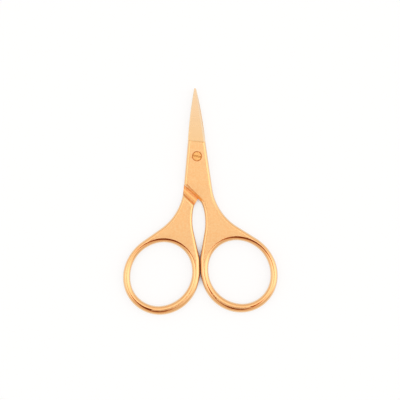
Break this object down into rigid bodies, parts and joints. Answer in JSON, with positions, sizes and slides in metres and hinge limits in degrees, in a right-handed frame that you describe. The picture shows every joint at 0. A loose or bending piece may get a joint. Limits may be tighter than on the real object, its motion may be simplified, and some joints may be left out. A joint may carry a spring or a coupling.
{
  "type": "cuticle scissors",
  "caption": "Small flat scissors with slim pointed blades, a slotted pivot screw and oval finger rings, in gold-plated steel, for trimming cuticles and nails.",
  "frame": {"origin": "on the pivot axis, at the plane that the closed scissors lie on", "axes": "+Z along the pivot axis, out of the front face; +Y from the pivot to the tip; +X to the side of the front half's finger ring"},
  "size_m": [0.0618, 0.09, 0.0032],
  "materials": {
    "gold_plated_steel": "satin gold plate with polished edges",
    "screw_steel": "satin gold plate"
  },
  "bodies": {
    "rear_half": {"rear_blade": "gold_plated_steel", "pivot_screw": "screw_steel"},
    "front_half": {"front_blade": "gold_plated_steel"}
  },
  "joints": [
    {"name": "pivot", "type": "hinge", "parent": "rear_half", "child": "front_half", "pos_m": [0, 0, 0.0016], "axis": [0, 0, 1], "range_deg": [0, 90]}
  ]
}
